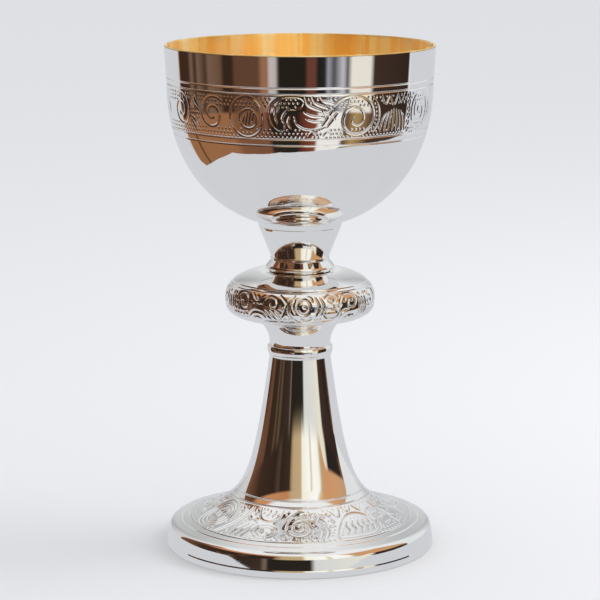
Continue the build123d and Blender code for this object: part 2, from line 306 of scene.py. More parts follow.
class Relief:
    """Chased ornament over one repeat of a band: depth in mm on a grid that wraps from side to side."""

    def __init__(self, width, height, columns, rows):
        self.width = width
        self.height = height
        self.columns = columns
        self.rows = rows
        self.x = np.arange(columns) * width / columns - width / 2
        self.y = np.linspace(height, 0, rows)
        self.depth = np.zeros((rows, columns))

    def disc(self, x, y, radius, depth):
        """A round punch mark."""
        dx = self.width / self.columns
        dy = self.height / (self.rows - 1)
        middle = int(round((x + self.width / 2) / dx))
        reach = int(radius / dx) + 2
        cols = np.arange(middle - reach, middle + reach + 1)
        middle = int(round((self.height - y) / dy))
        reach = int(radius / dy) + 2
        rows = np.arange(max(0, middle - reach), min(self.rows, middle + reach + 1))
        away_x = cols * dx - self.width / 2 - x
        away_y = self.y[rows] - y
        away = (away_x[None, :] ** 2 + away_y[:, None] ** 2) / radius**2
        bowl = depth * np.clip(1 - away, 0, 1) ** 0.8
        covered = np.ix_(rows, cols % self.columns)
        self.depth[covered] = np.maximum(self.depth[covered], bowl)

    def stroke(self, *points, w=0.36, depth=0.24, swell=0.55):
        """A cut along a curve, widest and deepest in the middle."""
        run = through(points, STROKE_STEP)
        share = np.linspace(0, 1, len(run))
        full = 1 - swell * (2 * abs(share - 0.5)) ** 2.2
        for (x, y), f in zip(run, full):
            self.disc(x, y, w * f, depth * (0.4 + 0.6 * f))

    def oval(self, x, y, rx, ry, w=0.34, depth=0.24):
        """A closed cut round an oval."""
        for t in np.linspace(0, 2 * pi, max(24, int(2 * pi * max(rx, ry) / 0.15))):
            self.disc(x + rx * cos(t), y + ry * sin(t), w, depth)

    def spiral(self, x, y, size, turns, start, hand=1, w=0.36, depth=0.24, squash=1.0):
        """A scroll that winds in to its eye and ends in a small drop."""
        steps = int(turns * size * 30)
        for i in range(steps + 1):
            t = i / steps
            radius = size * (1 - 0.82 * t**0.85)
            a = start + hand * 2 * pi * turns * t
            f = 0.55 + 0.45 * sin(pi * min(1, t * 1.15))
            self.disc(x + radius * cos(a), y + squash * radius * sin(a), w * f, depth)
        self.disc(x + radius * cos(a), y + squash * radius * sin(a), w * 1.7, depth)

    def free_places(self, low, high, pitch, row_step, clear):
        """Row, number, x and y of each staggered place that still has no cut near it."""
        rows = int((high - low) / row_step + 1e-6) + 1
        count = int(round(self.width / pitch))
        for row in range(rows):
            y = low + row * row_step
            for i in range(count):
                x = (i + 0.5 * (row % 2)) * self.width / count - self.width / 2
                away_x = abs((self.x - x + self.width / 2) % self.width - self.width / 2)
                near = (away_x[None, :] ** 2 + (self.y[:, None] - y) ** 2) < clear**2
                if not (near & (self.depth > UNCUT)).any():
                    yield row, i, x, y

    def dots(self, low, high, pitch, clear, radius=0.4, depth=0.24):
        """Punched dots over the free ground between two heights."""
        for _, _, x, y in self.free_places(low, high, pitch, pitch * 0.87, clear):
            self.disc(x, y, radius, depth)

    def leaves(self, low, high, pitch, size, clear, w, depth):
        """Small two-stroke leaves on the free ground, each turned another way."""
        for row, i, x, y in self.free_places(low, high, pitch, pitch, clear):
            lean = 0.9 * i + 1.7 * row
            along = np.array((cos(lean), sin(lean))) * size
            side = np.array((-along[1], along[0])) * 0.55
            here = np.array((x, y))
            for bend in (side, -side * 0.5):
                self.stroke(here - along, here + bend, here + along, w=w, depth=depth)


def lathe(name, profile, columns=COLUMNS, depth=None, first=0):
    """A mesh turned about Z from a closed profile in mm.

    depth is a grid of cuts in mm, with one row for each profile point from number first on.
    """
    profile = np.array(profile, float)
    normals = outward(profile)
    angles = (np.arange(columns) + 0.5) * 2 * pi / columns - pi
    across = np.sin(angles)
    away = -np.cos(angles)
    cuts = np.zeros((len(profile), columns))
    if depth is not None:
        cuts[first:first + len(depth)] = depth
    verts = []
    stored = []
    starts = []
    for (r, z), (nr, nz), cut in zip(profile, normals, cuts):
        starts.append(len(stored))
        if r < ON_AXIS:
            verts.append(np.array([[0, 0, z]]))
            stored.append(0.0)
        else:
            radii = r - nr * cut
            verts.append(np.stack([radii * across, radii * away, z - nz * cut], 1))
            stored.extend(cut)
    verts = np.concatenate(verts) * MM
    i = np.arange(columns)
    j = (i + 1) % columns
    quads = []
    fans = []
    for a in range(len(profile)):
        b = (a + 1) % len(profile)
        on_axis_a, on_axis_b = profile[[a, b], 0] < ON_AXIS
        sa = starts[a]
        sb = starts[b]
        if on_axis_a and on_axis_b:
            continue
        if on_axis_a:
            fans.append(np.stack([np.full(columns, sa), sb + i, sb + j], 1))
        elif on_axis_b:
            fans.append(np.stack([sa + j, sa + i, np.full(columns, sb)], 1))
        else:
            quads.append(np.stack([sa + i, sb + i, sb + j, sa + j], 1))
    faces = [face for block in quads + fans for face in block.tolist()]
    piece = mesh_object(name, verts.tolist(), faces)
    relief = piece.data.attributes.new("relief", "FLOAT", "POINT")
    relief.data.foreach_set("value", np.array(stored, dtype=np.float32))
    return piece


def mesh_object(name, verts, faces):
    """A smooth-shaded object with its real corners kept sharp."""
    mesh = bpy.data.meshes.new(name)
    mesh.from_pydata(verts, [], faces)
    mesh.polygons.foreach_set("use_smooth", [True] * len(mesh.polygons))
    mesh.set_sharp_from_angle(angle=CORNER_ANGLE)
    mesh.update()
    piece = bpy.data.objects.new(name, mesh)
    bpy.context.scene.collection.objects.link(piece)
    return piece


# ---------------------------------------------------------------- colours
def linear(*rgb):
    """Linear colour from 0..255 display values."""
    out = []
    for v in rgb:
        c = v / 255
        out.append(c / 12.92 if c <= 0.04045 else ((c + 0.055) / 1.055) ** 2.4)
    return (*out, 1.0)


# ---------------------------------------------------------------- camera and surroundings
CAMERA_PLACE = (0.0, -1.0444, 0.3034)  # metres
CAMERA_LOOKS_DOWN = 10.7  # degrees
LENS = 149.7
SENSOR_WIDTH = 36.0


def make_camera():
    data = bpy.data.cameras.new("camera")
    data.lens = LENS
    data.sensor_width = SENSOR_WIDTH
    camera = bpy.data.objects.new("camera", data)
    camera.location = CAMERA_PLACE
    camera.rotation_euler = (radians(90 - CAMERA_LOOKS_DOWN), 0, 0)
    bpy.context.scene.collection.objects.link(camera)
    bpy.context.scene.camera = camera


# What the silver sees of the room through the open front of the light tent. Each list runs round the
# chalice and holds (azimuth in degrees, colour 0..255). ROOM_TABLE is the lowest; each entry of
# ROOM_STEPS says between which two heights, in degrees above the horizon, the next list takes over.
ROOM_TABLE = (
    (-126, (150, 105, 70)), (-113, (150, 105, 70)), (-111, (60, 40, 28)), (-109, (150, 105, 70)),
    (-66, (150, 102, 70)), (-58, (125, 85, 60)), (-30, (120, 80, 58)), (-26, (45, 35, 28)),
    (-2, (38, 33, 28)), (2, (95, 48, 36)), (14, (130, 70, 50)), (17, (236, 235, 232)),
    (37, (236, 235, 232)), (41, (90, 65, 50)), (50, (170, 140, 90)), (62, (120, 90, 62)),
    (67, (70, 50, 42)), (95, (75, 56, 48)), (104, (110, 98, 90)),
)
ROOM_WALL = (
    (-126, (150, 110, 85)), (-123, (60, 40, 30)), (-110, (62, 42, 32)), (-106, (120, 94, 78)),
    (-101, (58, 42, 34)), (-97, (118, 92, 76)), (-88, (70, 50, 38)), (-84, (118, 92, 76)),
    (-72, (105, 78, 60)), (-68, (55, 38, 28)), (-60, (55, 38, 28)), (-57, (95, 66, 50)),
    (-36, (95, 66, 50)), (-32, (150, 108, 80)), (-28, (150, 108, 80)), (-26, (192, 182, 180)),
    (-21, (185, 176, 174)), (-18, (38, 32, 27)), (4, (36, 31, 26)), (7, (105, 62, 50)),
    (13, (100, 60, 50)), (15, (32, 30, 28)), (21, (40, 38, 38)), (24, (150, 150, 158)),
    (29, (70, 70, 76)), (37, (190, 190, 196)), (41, (80, 80, 84)), (45, (232, 226, 216)),
    (62, (232, 226, 216)), (66, (62, 46, 40)), (104, (50, 38, 32)),
)
ROOM_EYE = (
    (-122, (110, 75, 55)), (-100, (100, 68, 50)), (-95, (52, 38, 30)), (-78, (58, 44, 34)),
    (-74, (100, 80, 62)), (-70, (52, 38, 30)), (-62, (95, 76, 60)), (-56, (50, 38, 30)),
    (-34, (60, 46, 38)), (-30, (120, 104, 92)), (-27, (40, 34, 28)), (9, (40, 36, 32)),
    (13, (215, 217, 215)), (52, (225, 224, 216)), (56, (235, 228, 205)), (65, (230, 222, 200)),
    (69, (40, 35, 32)), (98, (44, 38, 34)), (103, (120, 85, 62)),
)
ROOM_UPPER = (
    (-122, (110, 75, 55)), (-96, (62, 44, 34)), (-60, (50, 36, 30)), (-50, (80, 60, 48)),
    (-44, (48, 36, 30)), (-24, (60, 46, 38)), (-21, (150, 125, 90)), (-16, (188, 162, 125)),
    (2, (195, 168, 130)), (5, (245, 240, 222)), (22, (253, 253, 250)), (26, (215, 200, 160)),
    (30, (253, 253, 250)), (44, (250, 248, 236)), (50, (190, 165, 130)), (56, (205, 150, 105)),
    (88, (205, 155, 112)), (104, (190, 155, 122)),
)
ROOM_CEILING = (
    (-122, (120, 75, 50)), (-110, (150, 100, 68)), (-100, (200, 140, 95)), (-30, (190, 130, 88)),
    (-20, (190, 165, 125)), (2, (195, 170, 130)), (6, (245, 240, 222)), (40, (254, 254, 250)),
    (48, (215, 190, 150)), (56, (205, 155, 110)), (104, (200, 160, 120)),
)
ROOM_STEPS = (
    (-15.5, -13.5, ROOM_WALL), (-5.0, -2.0, ROOM_EYE), (4.5, 8.5, ROOM_UPPER), (37.0, 42.0, ROOM_CEILING),
)
# To the right of SHADED_FROM the lists above the horizon start SHADED_BY degrees higher.
SHADED_FROM = 52.0
SHADED_WIDTH = 12.0
SHADED_BY = 8.0
HORIZON_BLUR = 2.0
ROOM_LEFT = -125.0
ROOM_RIGHT = 106.0
ROOM_TOP = 54.0
ROOM_TOP_BLUR = 3.0
TENT_BACK = (228, 229, 230)
TENT_LEFT = (206, 204, 203)
TENT_RIGHT = (226, 229, 231)
TENT = (
    (-180, TENT_BACK), (-160, (170, 172, 174)), (-140, TENT_LEFT), (-100, TENT_LEFT), (0, TENT_BACK),
    (100, TENT_RIGHT), (140, TENT_RIGHT), (162, (180, 182, 185)), (180, TENT_BACK),
)
TENT_ROOF = (236, 237, 239)
TENT_ROOF_STEP = (30.0, 60.0)
PALE = (238, 239, 241)

# Outline of the white sheet that the silver sees around the foot, in metres.
SHEET = (
    (-8.0, 6.5), (-1.2, 0.88), (-0.55, 0.43), (-0.3, 0.17), (-0.255, 0.1), (-0.262, -0.01), (-0.25, -0.11),
    (-0.17, -0.18), (-0.08, -0.235), (0.0, -0.25), (0.09, -0.248), (0.17, -0.225), (0.26, -0.177),
    (0.36, -0.085), (0.43, 0.03), (0.5, 0.15), (1.2, 0.35), (8.0, 2.0), (8.0, 8.0), (-8.0, 8.0),
)


class Nodes:
    """A short way to write a node tree; a value can be a socket or a constant."""

    def __init__(self, tree):
        self.tree = tree
        tree.nodes.clear()

    def add(self, kind, **settings):
        node = self.tree.nodes.new(kind)
        for key, value in settings.items():
            setattr(node, key, value)
        return node

    def link(self, source, target):
        self.tree.links.new(source, target)

    def feed(self, socket, value):
        if isinstance(value, bpy.types.NodeSocket):
            self.link(value, socket)
        else:
            socket.default_value = value

    def math(self, operation, *values):
        node = self.add("ShaderNodeMath", operation=operation)
        for socket, value in zip(node.inputs, values):
            self.feed(socket, value)
        return node.outputs[0]

    def times(self, a, b):
        return self.math("MULTIPLY", a, b)

    def cylindrical(self, vector):
        """Azimuth, radius and height of a vector."""
        split = self.add("ShaderNodeSeparateXYZ")
        self.link(vector, split.inputs[0])
        x, y, z = split.outputs
        radius = self.math("SQRT", self.math("ADD", self.times(x, x), self.times(y, y)))
        return self.math("ARCTAN2", x, self.times(y, -1.0)), radius, z

    def step(self, value, low, high):
        """0 below low, 1 above high, smooth between."""
        node = self.add("ShaderNodeMapRange", interpolation_type="SMOOTHSTEP")
        for name, v in (("Value", value), ("From Min", low), ("From Max", high)):
            self.feed(node.inputs[name], v)
        return node.outputs["Result"]

    def mix(self, factor, a, b):
        node = self.add("ShaderNodeMix", data_type="RGBA")
        self.feed(node.inputs["Factor"], factor)
        self.feed(node.inputs[6], a)
        self.feed(node.inputs[7], b)
        return node.outputs[2]

    def ramp(self, factor, stops):
        node = self.add("ShaderNodeValToRGB")
        ramp = node.color_ramp
        while len(ramp.elements) < len(stops):
            ramp.elements.new(0.5)
        for element, (place, colour) in zip(ramp.elements, stops):
            element.position = place
            element.color = colour
        self.feed(node.inputs[0], factor)
        return node.outputs[0]


def around_ramp(nodes, turn, stops):
    """Colours by azimuth; turn is 0 at -180 degrees and 1 at 180."""
    return nodes.ramp(turn, [((a + 180) / 360, linear(*c)) for a, c in stops])


def make_world():
    """A plain pale backdrop for the camera; the tent and the room for mirror rays."""
    world = bpy.data.worlds.new("studio")
    world.use_nodes = True
    world.cycles.sampling_method = "NONE"
    n = Nodes(world.node_tree)
    direction = n.add("ShaderNodeTexCoord").outputs["Generated"]
    azimuth, _, z = n.cylindrical(direction)
    turn = n.math("ADD", n.math("DIVIDE", azimuth, 2 * pi), 0.5)
    degrees_round = n.times(azimuth, 180 / pi)
    degrees_up = n.times(n.math("ARCSINE", z), 180 / pi)
    room = around_ramp(n, turn, ROOM_TABLE)
    above = n.step(degrees_up, -HORIZON_BLUR, HORIZON_BLUR)
    shaded = n.times(n.step(degrees_round, SHADED_FROM, SHADED_FROM + SHADED_WIDTH), SHADED_BY)
    stepped_up = n.math("SUBTRACT", degrees_up, n.times(shaded, above))
    for low, high, stops in ROOM_STEPS:
        room = n.mix(n.step(stepped_up, low, high), room, around_ramp(n, turn, stops))
    tent = n.mix(n.step(degrees_up, *TENT_ROOF_STEP), around_ramp(n, turn, TENT), linear(*TENT_ROOF))
    right_of_left = n.step(degrees_round, ROOM_LEFT - 1.5, ROOM_LEFT + 0.5)
    past_right = n.step(degrees_round, ROOM_RIGHT - 1.0, ROOM_RIGHT + 1.5)
    past_top = n.step(degrees_up, ROOM_TOP - ROOM_TOP_BLUR, ROOM_TOP + ROOM_TOP_BLUR)
    inside = n.times(right_of_left, n.math("SUBTRACT", 1.0, past_right))
    inside = n.times(inside, n.math("SUBTRACT", 1.0, past_top))
    seen = n.mix(inside, tent, room)
    is_glossy = n.add("ShaderNodeLightPath").outputs["Is Glossy Ray"]
    colour = n.mix(is_glossy, linear(*PALE), seen)
    background = n.add("ShaderNodeBackground")
    n.link(colour, background.inputs["Color"])
    out = n.add("ShaderNodeOutputWorld")
    n.link(background.outputs[0], out.inputs[0])
    bpy.context.scene.world = world


FLOOR_REACH = 8.0
FLOOR_DROP = 0.0002


def make_floor():
    """A floor for the camera and, in mirror rays only, the white sheet."""
    material = bpy.data.materials.new("pale_floor")
    material.use_nodes = True
    shader = material.node_tree.nodes["Principled BSDF"]
    shader.inputs["Base Color"].default_value = linear(*PALE)
    shader.inputs["Roughness"].default_value = 0.9
    shader.inputs["Specular IOR Level"].default_value = 0.0
    far = FLOOR_REACH
    corners = [(-far, -far, 0), (far, -far, 0), (far, far, 0), (-far, far, 0)]
    seen = mesh_object("floor", corners, [(0, 1, 2, 3)])
    seen.visible_glossy = False
    mirrored = mesh_object("floor_in_reflections", [(x, y, 0) for x, y in SHEET], [tuple(range(len(SHEET)))])
    for flag in ("visible_camera", "visible_diffuse", "visible_shadow", "visible_transmission"):
        setattr(mirrored, flag, False)
    for floor in (seen, mirrored):
        floor.location.z = -FLOOR_DROP
        floor.data.materials.append(material)


def area_light(name, place, target, size, energy, spread=180.0):
    """A square light that isn't mirrored in the silver; spread is in degrees."""
    data = bpy.data.lights.new(name, "AREA")
    data.size = size
    data.energy = energy
    data.spread = radians(spread)
    light = bpy.data.objects.new(name, data)
    light.location = place
    away = Vector(place) - Vector(target)
    light.rotation_euler = away.to_track_quat("Z", "Y").to_euler()
    light.visible_glossy = False
    bpy.context.scene.collection.objects.link(light)


def make_lights():
    """A soft light from the right, and a narrow one that falls into the cup."""
    area_light("softbox", place=(0.75, 0.1, 0.8), target=(0.25, 0.25, 0.0), size=0.6, energy=3.0)
    area_light("mouth_light", place=(0.0, -0.11, 0.52), target=(0.0, 0.016, 0.2), size=0.03, energy=0.14,
               spread=8.0)


# ---------------------------------------------------------------- materials
def new_material(name, metallic=1.0):
    """A metal, with its node helper, its shader's inputs and its place on the object."""
    material = bpy.data.materials.new(name)
    material.use_nodes = True
    n = Nodes(material.node_tree)
    shader = n.add("ShaderNodeBsdfPrincipled")
    shader.inputs["Metallic"].default_value = metallic
    out = n.add("ShaderNodeOutputMaterial")
    n.link(shader.outputs[0], out.inputs[0])
    return material, n, shader.inputs, n.add("ShaderNodeTexCoord").outputs["Object"]


def noise(n, vector, scale, detail=4.0):
    node = n.add("ShaderNodeTexNoise")
    node.inputs["Scale"].default_value = scale
    node.inputs["Detail"].default_value = detail
    n.link(vector, node.inputs["Vector"])
    return node.outputs[0]


def turning(n, place, round_scale, up_scale):
    """Noise drawn out around the axis, as a lathe or a polishing wheel leaves it."""
    azimuth, radius, z = n.cylindrical(place)
    join = n.add("ShaderNodeCombineXYZ")
    n.feed(join.inputs[0], n.times(azimuth, round_scale))
    n.feed(join.inputs[1], n.times(z, up_scale))
    n.feed(join.inputs[2], n.times(radius, up_scale))
    return noise(n, join.outputs[0], 1.0, 3.0)


def grey(value):
    return (value, value, value, 1)


def silver():
    """Polished plate: bright, a little cloudy, darker and duller in the cuts."""
    material, n, sockets, place = new_material("silver_plate")
    cloud = noise(n, place, 45.0)
    fine = noise(n, place, 900.0, 2.0)
    wheel = turning(n, place, 2.0, 1500.0)
    cut = n.add("ShaderNodeAttribute", attribute_name="relief").outputs["Fac"]
    tarnish = n.times(n.step(cut, 0.05, 0.3), 0.35)
    plate = n.ramp(cloud, [(0.3, (0.945, 0.935, 0.915, 1)), (0.7, (0.98, 0.975, 0.962, 1))])
    plate = n.mix(n.times(wheel, 0.04), plate, (0.8, 0.79, 0.77, 1))
    n.link(n.mix(tarnish, plate, (0.42, 0.36, 0.29, 1)), sockets["Base Color"])
    mean = n.math("ADD", n.times(cloud, 0.5), n.times(fine, 0.5))
    n.link(n.math("ADD", n.times(mean, 0.06), n.times(tarnish, 0.3)), sockets["Roughness"])
    return material


def gilt():
    """Satin gilding, brushed around the cup, with painted pale highlight streaks that run up and down at
    places round it.
    """
    material, n, sockets, place = new_material("gilt", metallic=0.75)
    sockets["Anisotropic"].default_value = 0.95
    sockets["Anisotropic Rotation"].default_value = 0.25
    n.link(n.add("ShaderNodeTangent", direction_type="RADIAL", axis="Z").outputs[0], sockets["Tangent"])
    cloud = noise(n, place, 40.0)
    brushed = turning(n, place, 5.0, 2600.0)
    # Painted highlight: noise that changes only round the axis paints pale upright streaks into the gold.
    painted_streaks = turning(n, place, 7.0, 4.0)
    stops = [(0.38, (0.96, 0.54, 0.1, 1)), (0.5, (1.0, 0.69, 0.2, 1)), (0.6, (1.0, 0.92, 0.55, 1))]
    gold_and_painted_streaks = n.ramp(painted_streaks, stops)
    gold_and_painted_streaks = n.mix(n.times(brushed, 0.35), gold_and_painted_streaks, (0.96, 0.62, 0.2, 1))
    n.link(n.mix(n.times(cloud, 0.25), gold_and_painted_streaks, (1.0, 0.84, 0.5, 1)), sockets["Base Color"])
    n.link(n.ramp(brushed, [(0.3, grey(0.28)), (0.7, grey(0.4))]), sockets["Roughness"])
    bump = n.add("ShaderNodeBump")
    bump.inputs["Strength"].default_value = 0.06
    bump.inputs["Distance"].default_value = 0.00005
    n.link(brushed, bump.inputs["Height"])
    n.link(bump.outputs[0], sockets["Normal"])
    return material


def turned_brass():
    """Plain turned brass with tool rings and a little tarnish."""
    material, n, sockets, place = new_material("turned_brass")
    cloud = noise(n, place, 120.0)
    rings = turning(n, place, 1.0, 3500.0)
    brass = n.ramp(cloud, [(0.3, (0.62, 0.42, 0.18, 1)), (0.7, (0.80, 0.60, 0.30, 1))])
    n.link(n.mix(n.times(rings, 0.3), brass, (0.5, 0.34, 0.15, 1)), sockets["Base Color"])
    n.link(n.ramp(rings, [(0.3, grey(0.22)), (0.7, grey(0.4))]), sockets["Roughness"])
    return material


def zinc_steel():
    """Zinc-plated steel: pale, spangled and slightly rough."""
    material, n, sockets, place = new_material("zinc_steel")
    cloud = noise(n, place, 300.0)
    fine = noise(n, place, 2500.0, 2.0)
    zinc = n.ramp(cloud, [(0.3, (0.50, 0.51, 0.53, 1)), (0.7, (0.68, 0.69, 0.70, 1))])
    n.link(zinc, sockets["Base Color"])
    n.link(n.ramp(fine, [(0.3, grey(0.28)), (0.7, grey(0.45))]), sockets["Roughness"])
    return material


SILVER = silver()
GILT = gilt()
BRASS = turned_brass()
ZINC = zinc_steel()
CARRIED = {
    "knop_spacer": BRASS, "stem_plug": BRASS, "clamp_plate": BRASS,
    "tie_rod": ZINC, "plain_washer": ZINC, "spring_washer": ZINC, "hex_nut": ZINC,
}


def finish_piece(piece, material, slot, *nodes):
    """Gives a piece its material and its body, and hides the CAD nodes that it stands for; slot is not used.
    """
    piece.data.materials.append(material)
    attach(piece, "root")
    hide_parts(*nodes)


def silver_piece(name, node, profile, **settings):
    finish_piece(lathe(name, profile, **settings), SILVER, "silver_plate", node)


# ---------------------------------------------------------------- chased ornament, in mm
def half_turns(band):
    """Two repeats round the piece, with the middle of one facing the camera."""
    return np.roll(np.concatenate([band.depth, band.depth], axis=1), band.columns // 2, axis=1)


def cup_ornament():
    """Half a turn of the cup's band: scrolls, leaves, a roundel and dotted ground."""
    band = Relief(pi * CUP_BAND_RADIUS, CUP_BAND[1] - CUP_BAND[0], HALF_TURN_COLUMNS, CUP_BAND_ROWS)
    s = band.stroke
    # Roundel.
    band.oval(-21.8, 9.1, 7.1, 8.3)
    band.oval(-21.0, 8.3, 3.7, 3.9)
    for x, low, high in ((-23.0, 5.6, 9.6), (-21.6, 5.0, 11.2), (-20.2, 5.4, 11.6), (-18.9, 7.0, 11.0)):
        s((x - 0.6, low), (x + 0.9, high), w=0.4)
    # Scroll shaped like a C, with a bulb at each end.
    s((-1.0, 12.2), (0.8, 13.4), (1.5, 15.4), (0.0, 17.0), (-3.4, 17.5), (-8.0, 16.8), (-11.6, 13.8),
      (-12.5, 9.6), (-11.2, 5.6), (-8.4, 3.4), (-6.2, 4.4))
    s((-1.0, 12.2), (-3.6, 12.6), (-6.0, 11.2), (-7.2, 8.6), (-6.2, 6.2), (-6.2, 4.4))
    s((-9.6, 13.0), (-10.1, 9.8), (-9.2, 6.8), w=0.42)
    s((-4.2, 9.8), (-4.9, 7.0), (-3.6, 4.4), w=0.42)
    s((-2.4, 9.6), (-1.4, 6.4), (1.8, 4.4), (6.2, 4.2), (10.6, 5.6), w=0.42)
    # Leaf of long gouges.
    s((1.8, 17.2), (3.4, 14.0), (8.6, 11.6), w=0.55, depth=0.3)
    s((4.6, 17.3), (6.2, 14.8), (10.8, 12.8), w=0.55, depth=0.3)
    s((7.8, 17.3), (9.6, 15.6), (13.2, 14.6), w=0.5, depth=0.3)
    s((1.4, 11.2), (4.6, 9.8), (9.2, 9.4), w=0.5)
    s((2.2, 8.4), (6.0, 7.4), (9.6, 7.8), w=0.42)
    s((8.4, 5.6), (12.6, 12.2), w=0.45)
    s((10.6, 5.2), (14.6, 11.0), w=0.45)
    s((9.2, 11.0), (14.0, 8.4), w=0.4)
    s((3.0, 1.6), (5.0, 3.2), (7.0, 1.6), w=0.3)
    s((8.8, 1.6), (10.8, 3.4), (12.8, 1.6), w=0.3)
    # Spiral with a beaded edge.
    s((13.4, 13.6), (16.4, 16.2), (20.4, 17.4), (25.0, 16.8), (29.2, 13.6), (30.6, 9.0), (28.8, 4.4),
      (24.4, 1.9), (19.6, 2.8), (17.0, 6.6), (18.0, 11.0), (21.6, 12.9), (25.2, 11.2), (26.0, 7.6),
      (23.6, 5.4), (21.0, 6.8), (21.6, 9.0), w=0.42)
    s((29.8, 16.8), (32.8, 12.4), (33.0, 6.4), (30.4, 1.8))
    for t in np.linspace(-0.95, 0.95, 9):
        band.disc(31.7 - 1.9 * abs(t) ** 2.2, 9.2 + 7.0 * t, 0.36, 0.24)
    # Fan of strokes under two notches.
    s((34.2, 17.2), (36.2, 13.4), (38.4, 17.2))
    s((38.4, 17.2), (40.6, 12.8), (43.2, 17.2))
    s((43.2, 17.2), (45.2, 13.6), (47.4, 17.2))
    for i in range(7):
        lean = i - 3
        top = (41.0 + lean * 1.4, 11.4 - abs(lean) * 0.5)
        s(top, (41.0 + lean * 2.0, 6.8), (41.0 + lean * 2.3, 2.0), w=0.42)
    for i in range(6):
        band.oval(49.8, 2.4 + i * 2.7, 0.7, 1.0, w=0.26)
    # Looped scroll with upright strokes.
    band.oval(58.2, 9.1, 6.4, 7.9)
    band.spiral(58.2, 9.1, 4.6, 1.4, 2.4, w=0.4, squash=1.2)
    for i in range(3):
        x = 66.6 + i * 1.9
        s((x, 14.6 - i), (x + 0.6, 9.0), (x - 0.2, 3.0 + i), w=0.44)
    s((64.0, 15.4), (67.6, 17.2), (71.6, 15.4), (73.0, 11.0), (72.4, 5.6), (69.8, 1.8), w=0.38)
    # Wreath on dotted ground.
    band.oval(79.4, 9.1, 4.6, 7.2)
    for i in range(6):
        a = i * pi / 3 + 0.3
        end = (79.4 + 3.2 * cos(a + 0.3), 9.1 + 5.2 * sin(a + 0.3))
        s((79.4 + 1.2 * cos(a), 9.1 + 1.6 * sin(a)), end, w=0.5)
    # Volutes with fanned leaves, to the left of the roundel.
    for x, hand in ((-38.0, 1), (-58.0, -1), (-75.0, 1)):
        band.spiral(x, 9.4, 7.2, 1.7, pi / 2 - hand * 0.8, hand=hand, w=0.42, squash=1.08)
        for i in range(5):
            lean = i - 2
            s((x - hand * 7.4, 9.2 + lean * 1.3), (x - hand * 9.2, 9.2 + lean * 2.6),
              (x - hand * 10.4, 9.2 + lean * 3.6), w=0.5, depth=0.28)
    s((-48.6, 3.0), (-47.0, 8.8), (-49.2, 15.4), w=0.42)
    band.dots(0.9, 4.6, 1.75, 0.75)
    band.dots(13.4, 17.4, 1.75, 0.75)
    return half_turns(band)


def knop_ornament(height, rows):
    """A third of a turn of the knop's band: interlaced scrolls around small bosses."""
    band = Relief(2 * pi * KNOP_BAND_RADIUS / 3, height, HALF_TURN_COLUMNS // 3, rows)
    high = height / KNOP_BAND_DESIGN_HEIGHT

    def s(*points, w=0.55, depth=0.42):
        band.stroke(*[(x, y * high) for x, y in points], w=w, depth=depth, swell=0.4)

    s((-31.0, 9.6), (-29.0, 12.2), (-25.4, 12.2), (-23.4, 9.0), (-24.6, 5.6), (-27.6, 5.4), (-28.2, 8.0),
      (-26.4, 8.6))
    s((-24.0, 1.8), (-20.8, 4.8), (-16.4, 4.4), (-14.4, 1.8))
    s((-21.4, 1.8), (-19.2, 3.0), (-17.0, 1.8), w=0.42)
    s((-22.0, 12.6), (-19.0, 9.8), (-15.6, 12.2), w=0.45)
    s((-15.6, 8.4), (-13.4, 11.8), (-10.2, 10.8), (-9.8, 7.8), (-12.0, 6.6), (-12.8, 8.6))
    s((-15.0, 5.4), (-12.2, 1.8))
    s((-12.8, 5.4), (-10.0, 1.8))
    s((-10.6, 5.6), (-8.0, 2.4))
    s((-8.6, 12.6), (-5.4, 8.6), (-4.6, 4.6), (-1.6, 1.2), w=0.6)
    s((-2.2, 12.6), (-5.2, 9.2), (-7.0, 5.0), (-9.4, 1.2), w=0.6)
    band.oval(1.4, 7.6 * high, 2.7, 3.2, w=0.6, depth=0.45)
    s((-2.2, 10.6), (-3.0, 7.6), (-2.0, 4.6), w=0.5)
    s((0.2, 2.8), (2.2, 1.4), (4.6, 2.4), (4.0, 3.6), w=0.45)
    s((3.0, 12.4), (4.6, 11.4), (5.2, 9.4), w=0.45)
    s((6.4, 11.8), (7.8, 7.8), (6.4, 3.8))
    s((8.6, 11.4), (9.9, 7.8), (8.6, 4.2))
    s((10.6, 11.2), (12.8, 12.6), (15.0, 11.2), (14.0, 9.0), (12.0, 9.8))
    band.oval(13.2, 4.3 * high, 3.0, 2.0, w=0.5, depth=0.4)
    s((17.0, 2.0), (18.6, 4.8), (21.6, 5.6))
    s((19.2, 1.4), (21.4, 3.0), (24.6, 3.2))
    s((17.2, 9.0), (19.6, 12.4), (23.8, 12.4), (26.0, 9.2), (24.4, 6.2), (21.4, 7.0), (21.8, 9.6))
    for x in (27.4, 29.4, 31.4):
        s((x - 0.6, 1.6), (x + 1.0, 5.4), (x + 0.4, 9.6))
    band.leaves(1.8, height - 1.8, 1.9, 0.85, 1.05, 0.36, 0.3)
    return np.concatenate([band.depth] * 3, axis=1)


